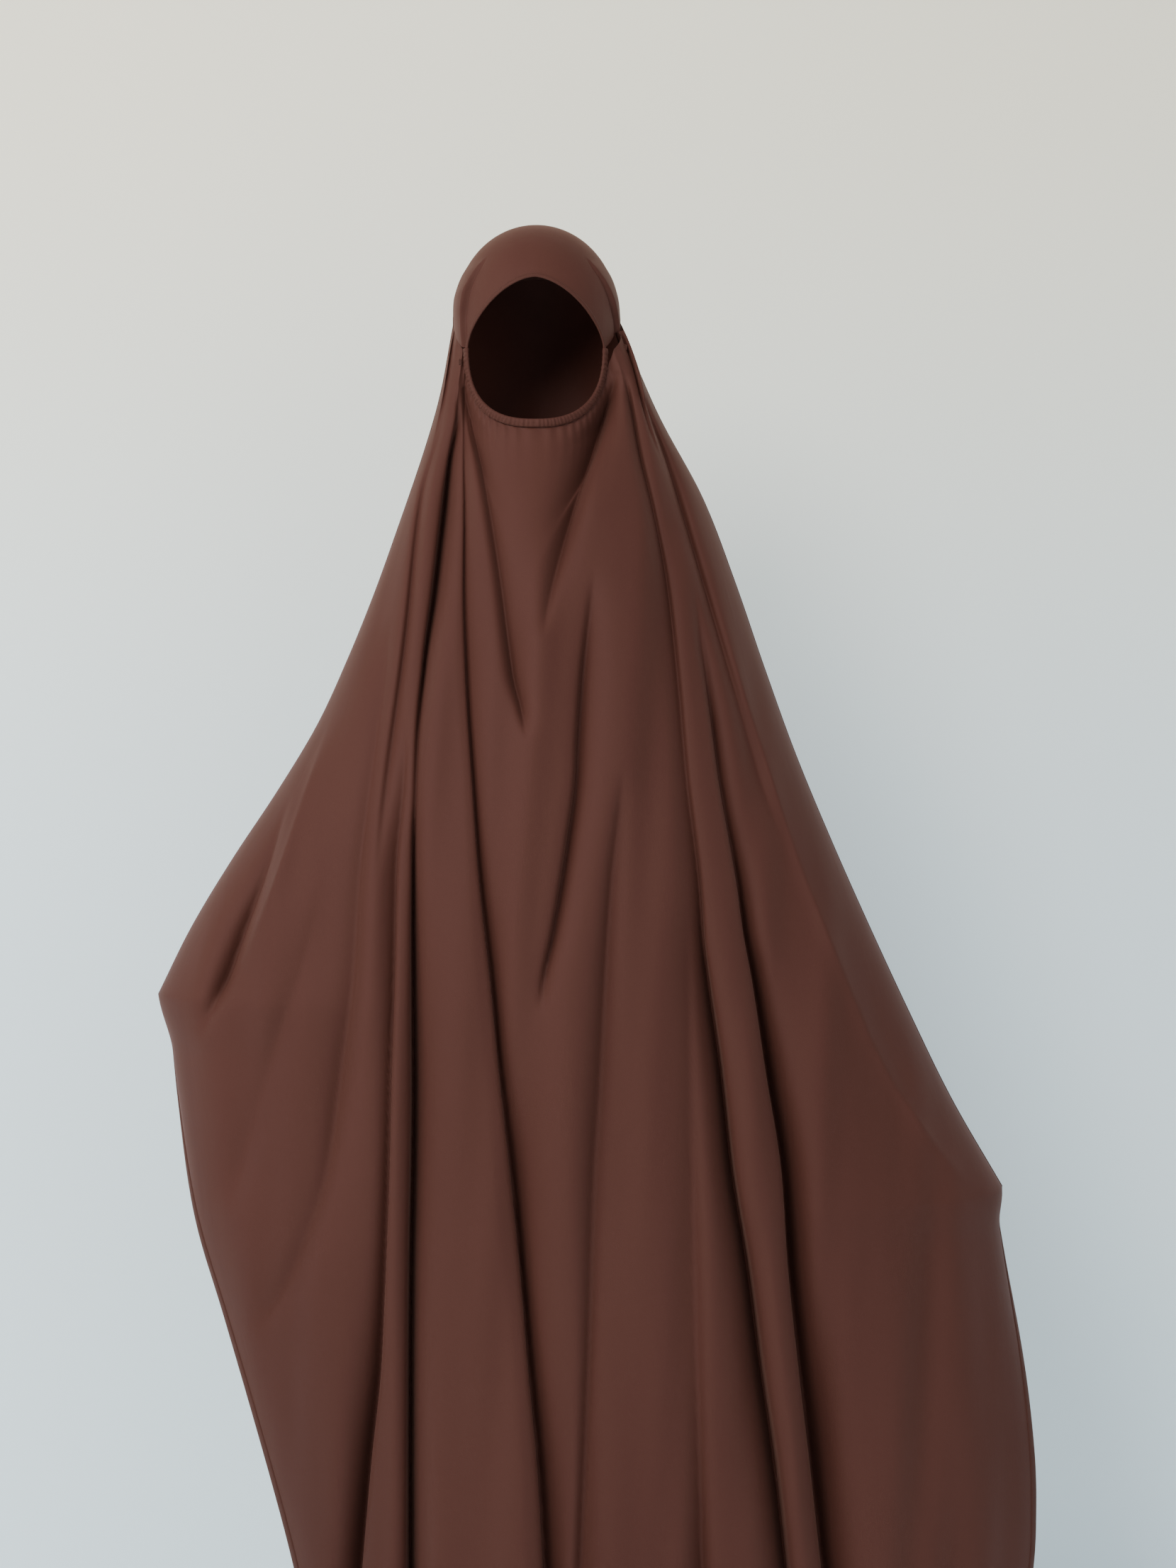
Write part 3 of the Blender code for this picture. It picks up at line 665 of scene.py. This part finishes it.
def clothMaterial(name, dark, light, roughness, creaseDepth, sheen):
    made = bpy.data.materials.new(name)
    made.use_nodes = True
    nodes, link = made.node_tree.nodes, made.node_tree.links.new
    surface = nodes["Principled BSDF"]
    socketOf(surface, "Roughness", roughness)
    socketOf(surface, "Specular IOR Level", 0.16)
    socketOf(surface, "Sheen Weight", sheen)
    socketOf(surface, "Sheen Roughness", 0.42)
    socketOf(surface, "Sheen Tint", (0.85, 0.42, 0.32, 1.0))
    cloth = nodes.new("ShaderNodeGroup")
    cloth.node_tree = grain
    for socket, value in weave.items():
        socketOf(cloth, socket, value)
    spread = nodes.new("ShaderNodeMapRange")
    socketOf(spread, "From Min", 0.34)
    socketOf(spread, "From Max", 0.66)
    link(cloth.outputs["tone"], spread.inputs["Value"])
    colour = nodes.new("ShaderNodeMix")
    colour.data_type = "RGBA"
    colour.inputs[6].default_value = (*dark, 1.0)
    colour.inputs[7].default_value = (*light, 1.0)
    link(spread.outputs["Result"], colour.inputs[0])
    link(colour.outputs[2], surface.inputs["Base Color"])
    crinkle = nodes.new("ShaderNodeBump")
    socketOf(crinkle, "Strength", 0.5)
    socketOf(crinkle, "Distance", creaseDepth)
    link(cloth.outputs["crease"], crinkle.inputs["Height"])
    fine = nodes.new("ShaderNodeBump")
    socketOf(fine, "Strength", 0.35)
    socketOf(fine, "Distance", 0.0003)
    link(cloth.outputs["grain"], fine.inputs["Height"])
    link(crinkle.outputs["Normal"], fine.inputs["Normal"])
    link(fine.outputs["Normal"], surface.inputs["Normal"])
    return made


crepe = clothMaterial("crepe", (0.050, 0.0152, 0.0104), (0.060, 0.0195, 0.0136), 0.72, 0.0012, 0.10)
crepeHem = clothMaterial("crepeHem", (0.047, 0.0145, 0.0098), (0.056, 0.0182, 0.0126), 0.72, 0.0006, 0.10)
thread = clothMaterial("thread", (0.042, 0.0135, 0.0092), (0.051, 0.0170, 0.0118), 0.60, 0.0003, 0.08)


def wallMaterial():
    made = bpy.data.materials.new("wallPaintedLight")
    made.use_nodes = True
    nodes, link = made.node_tree.nodes, made.node_tree.links.new
    surface = nodes["Principled BSDF"]
    socketOf(surface, "Roughness", 0.85)
    socketOf(surface, "Specular IOR Level", 0.2)
    # Painted light: the wall's colour is blended by height from cool blue-grey low down to warm cream higher
    # up, painting in warm light from above and cooler shade below
    place = nodes.new("ShaderNodeTexCoord")
    split = nodes.new("ShaderNodeSeparateXYZ")
    rise = nodes.new("ShaderNodeMapRange")
    rise.interpolation_type = "SMOOTHSTEP"
    socketOf(rise, "From Min", -0.9)
    socketOf(rise, "From Max", 0.5)
    paintedLightTint = nodes.new("ShaderNodeMix")
    paintedLightTint.data_type = "RGBA"
    paintedLightTint.inputs[6].default_value = (0.83, 0.95, 1.0, 1.0)
    paintedLightTint.inputs[7].default_value = (0.95, 0.90, 0.74, 1.0)
    link(place.outputs["Object"], split.inputs["Vector"])
    link(split.outputs["Z"], rise.inputs["Value"])
    link(rise.outputs["Result"], paintedLightTint.inputs[0])
    link(paintedLightTint.outputs[2], surface.inputs["Base Color"])
    # From behind, the wall lets the veil show through
    side = nodes.new("ShaderNodeNewGeometry")
    through = nodes.new("ShaderNodeBsdfTransparent")
    chosen = nodes.new("ShaderNodeMixShader")
    link(side.outputs["Backfacing"], chosen.inputs[0])
    link(surface.outputs["BSDF"], chosen.inputs[1])
    link(through.outputs["BSDF"], chosen.inputs[2])
    link(chosen.outputs["Shader"], nodes["Material Output"].inputs["Surface"])
    return made


wallPaintedLight = wallMaterial()
print("materials made")


def finishPiece(piece, material, slot, *nodes):
    piece.data.materials.append(material)
    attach(piece, "root")
    if nodes:
        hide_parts(*nodes)
    return piece


# Hood

def hoodPoints():
    share = np.linspace(0, 1, hood["across"] + 1)[None, :, None]
    back = (np.linspace(0, 1, hood["deep"] + 1) ** hood["deepEase"])[:, None, None]
    centre = np.array([0.0, 0.0, headCentre])
    start = unit(browEdge(share[..., 0], hood["browHem"] * 0.8) - centre)
    end = unit(backSeam(share[..., 0]) - centre)
    angle = np.arccos(np.clip((start * end).sum(axis=-1, keepdims=True), -1, 1))
    way = (start * np.sin((1 - back) * angle) + end * np.sin(back * angle)) / np.sin(angle)
    points = onForm(unit(way))
    return onHood(points)


hoodPiece = finishPiece(addSheet("hoodCloth", hoodPoints(), flip=True), crepe, "crepe", "hood")
print("hood made")

browShare = np.linspace(0, 1, 421)
browLine = browEdge(browShare, hood["browHem"] / 2)
browAway = unit(browEdge(browShare, hood["browHem"]) - browEdge(browShare, 0.0))
browLine += outward(browLine) * 0.0012
browHem = addRibbon("foreheadHem", browLine, browAway, outward(browLine), hood["browHem"] / 2, 0.0011)
finishPiece(browHem, crepeHem, "crepe_hem", "forehead_hem")

# Chin band

bandShare = np.linspace(0, 1, casing["steps"] + 1)
bandEdge, bandAway = chinEdge(bandShare)
bandLine = bandEdge + bandAway * casing["width"] / 2
bandNormal = outward(bandLine)
ruche = np.sin(2 * math.pi * casing["ruches"] * bandShare + 2.5 * np.sin(23 * bandShare))
ruche += 0.5 * np.sin(2 * math.pi * casing["ruches"] * 0.62 * bandShare)
bandLine = bandLine + bandNormal * casing["offForm"]
bandThick = casing["puff"] * (1 + casing["rucheSwell"] * ruche)
chinBand = addRibbon("chinBand", bandLine, bandAway, bandNormal, casing["width"] / 2, bandThick)
finishPiece(chinBand, crepeHem, "crepe_hem", "chin_band")

# Front and back drapes

frontPoints = panelPoints(front=True)
backPoints = panelPoints(front=False)
frontDrape = finishPiece(addSheet("frontDrape", frontPoints), crepe, "crepe", "veil_front")
backDrape = finishPiece(addSheet("backDrape", backPoints, flip=True), crepe, "crepe", "veil_back")
print("drapes made")


def gridNormals(points, front):
    down = np.gradient(points, axis=0)
    across = np.gradient(points, axis=1)
    return unit(np.cross(down, across)) * (1 if front else -1)


rolledHem = {
    "step": 0.004,
    "least": 0.0030,
    "overlap": 0.0015,
    "halfThick": 0.0012,
    "stitchIn": 0.0006,
    "stitchStep": 0.0038,
    "stitchSize": (0.0026, 0.0005, 0.0005),
}


def addHem(name, points, front, node):
    first = drape["upperRows"]
    normals = gridNormals(points, front)
    sides = []
    for edge, beside in ((0, 3), (-1, -4)):
        line = points[first:-1, edge]
        out = unit(points[first:-1, edge] - points[first:-1, beside])
        sides.append((line, out, normals[first:-1, 2 if edge == 0 else -3]))
    low = points[-1]
    lowOut = np.zeros_like(low)
    lowOut[:, 2] = -1.0
    lowNormal = normals[-1]
    path = np.concatenate([sides[0][0], low, sides[1][0][::-1]])
    out = np.concatenate([sides[0][1], lowOut, sides[1][1][::-1]])
    normal = np.concatenate([sides[0][2], lowNormal, sides[1][2][::-1]])
    path, out, normal = walk(path, rolledHem["step"], out, normal)
    for _ in range(3):
        out[1:-1] = (out[:-2] + out[1:-1] * 2 + out[2:]) / 4
        normal[1:-1] = (normal[:-2] + normal[1:-1] * 2 + normal[2:]) / 4
    along = unit(np.gradient(path, axis=0))
    out = unit(out - along * (out * along).sum(axis=-1, keepdims=True))
    normal = unit(np.cross(along, out))
    if not front:
        normal = -normal
    wrist = np.where(path[:, 0] < 0, veil["leftWristDrop"], veil["rightWristDrop"])
    growth = smooth(12 * (-path[:, 2] - wrist) / (veil["length"] - wrist))
    width = np.maximum(veil["hemWidth"] * growth, rolledHem["least"])
    overlap = rolledHem["overlap"]
    centre = path + out * ((width - overlap) / 2)[:, None]
    hem = addRibbon(name, centre, out, normal, (width + overlap) / 2, rolledHem["halfThick"])
    finishPiece(hem, crepeHem, "crepe_hem", node)
    line = path + out * rolledHem["stitchIn"] + normal * rolledHem["halfThick"]
    stitches = addStitches(
        name + "Stitches", line, normal, rolledHem["stitchStep"], rolledHem["stitchSize"]
    )
    finishPiece(stitches, thread, "crepe_hem")
    return hem, stitches


frontHem, frontHemStitches = addHem("frontHem", frontPoints, True, "hem_front")
backHem, backHemStitches = addHem("backHem", backPoints, False, "hem_back")
print("hems made")

# Seams and tacks

seamShare = np.linspace(0, 1, 261)
seamLine = onHood(backSeam(seamShare), 0.0002)
seamNormal = outward(seamLine)
seamDown = unit(np.cross(unit(np.gradient(seamLine, axis=0)), seamNormal))
seamWelt = addRibbon("backSeamWelt", seamLine, seamDown, seamNormal, 0.0012, 0.0008)
finishPiece(seamWelt, crepeHem, "crepe_hem")
for side, edge in (("left", 0), ("right", -1)):
    line = frontPoints[: drape["upperRows"] + 1, edge]
    outer = np.zeros_like(line)
    outer[:, 0] = -1.0 if edge == 0 else 1.0
    line = line[::2] + outer[::2] * 0.0004
    outer = outer[::2]
    forward = np.zeros_like(line)
    forward[:, 1] = 1.0
    welt = addRibbon(side + "SideSeam", line, forward, outer, 0.0011, 0.0008, sides=8)
    finishPiece(welt, crepeHem, "crepe_hem")

inner = chinEdge(np.linspace(0.004, 0.996, 300))
stitchLine = inner[0] + inner[1] * (casing["width"] - 0.0014)
stitchLine = stitchLine + outward(stitchLine) * (casing["puff"] + 0.0002)
bandStitches = addStitches(
    "chinBandStitches", stitchLine, outward(stitchLine), 0.0030, (0.0021, 0.0005, 0.0005)
)
finishPiece(bandStitches, thread, "crepe_hem")
browTop = browEdge(browShare, hood["browHem"] * 0.78)
browTop = browTop + outward(browTop) * 0.0022
browStitches = addStitches("foreheadStitches", browTop, outward(browTop), 0.0030, (0.0020, 0.0004, 0.0004))
finishPiece(browStitches, thread, "crepe_hem")

tacking = {"lift": 0.0008, "aside": 0.0011, "rise": 0.0024, "step": 0.0020}


def addTack(name, across, down):
    rows = frontPoints[2:60]
    away = (rows[..., 0] - across) ** 2 + (rows[..., 2] - down) ** 2
    row, column = np.unravel_index(np.argmin(away), away.shape)
    normal = gridNormals(rows, True)[row, column]
    middle = rows[row, column] + normal * tacking["lift"]
    path = []
    for side in (-1, 0, 1):
        for rise in (1, -1):
            path.append(middle + np.array([side * tacking["aside"], 0.0, rise * tacking["rise"]]))
    path = np.array(path)
    normals = np.repeat(normal[None], len(path), axis=0)
    tack = addStitches(name, path, normals, tacking["step"], (0.0026, 0.0009, 0.0010))
    finishPiece(tack, thread, "crepe_hem")


addTack("leftJawTack", -0.0805, -0.154)
addTack("rightJawTack", 0.095, -0.136)

print("seams and stitches made")

# Stage, light and camera

stage = {"floor": -1.70, "wall": 0.62, "wide": 9.0, "high": 6.0}


def addPlane(name, corners):
    made = addMesh(name, np.array(corners), [(0, 1, 2, 3)])
    made.data.materials.append(wallPaintedLight)
    return made


half = stage["wide"] / 2
addPlane("floor", [(-half, -half, stage["floor"]), (half, -half, stage["floor"]),
                   (half, stage["wall"], stage["floor"]), (-half, stage["wall"], stage["floor"])])
addPlane("backdrop", [(-half, stage["wall"], stage["floor"]), (half, stage["wall"], stage["floor"]),
                      (half, stage["wall"], stage["high"]), (-half, stage["wall"], stage["high"])])
addPlane("floorBehind", [(-half, stage["wall"], stage["floor"]), (half, stage["wall"], stage["floor"]),
                         (half, half, stage["floor"]), (-half, half, stage["floor"])])


def addLight(name, place, aim, size, power, colour):
    lamp = bpy.data.lights.new(name, "AREA")
    lamp.shape = "DISK"
    lamp.size = size
    lamp.energy = power
    lamp.color = colour
    made = bpy.data.objects.new(name, lamp)
    made.location = place
    made.rotation_euler = (Vector(aim) - Vector(place)).to_track_quat("-Z", "Y").to_euler()
    bpy.context.scene.collection.objects.link(made)


addLight("keyLight", (-1.3, -3.0, 0.9), (0.0, 0.0, -0.7), 1.4, 92, (1.0, 0.97, 0.93))
addLight("fillLight", (1.6, -3.0, -0.2), (0.0, 0.0, -0.9), 2.0, 20, (0.96, 0.98, 1.0))
addLight("wallLight", (-1.9, -1.3, 0.2), (0.3, 0.62, -0.9), 1.8, 30, (1.0, 0.99, 0.97))
world = bpy.data.worlds.new("studio")
world.use_nodes = True
world.node_tree.nodes["Background"].inputs["Color"].default_value = (0.96, 0.98, 1.0, 1.0)
world.node_tree.nodes["Background"].inputs["Strength"].default_value = 0.76
bpy.context.scene.world = world

lens = bpy.data.cameras.new("camera")
lens.sensor_fit = "VERTICAL"
lens.sensor_height = 24.0
lens.lens = lens.sensor_height / 2 / math.tan(math.radians(39.26) / 2)
camera = bpy.data.objects.new("camera", lens)
camera.location = (0.056, -2.4, -0.606)
camera.rotation_euler = (math.radians(90), 0.0, 0.0)
bpy.context.scene.collection.objects.link(camera)
bpy.context.scene.camera = camera

print("scene made")
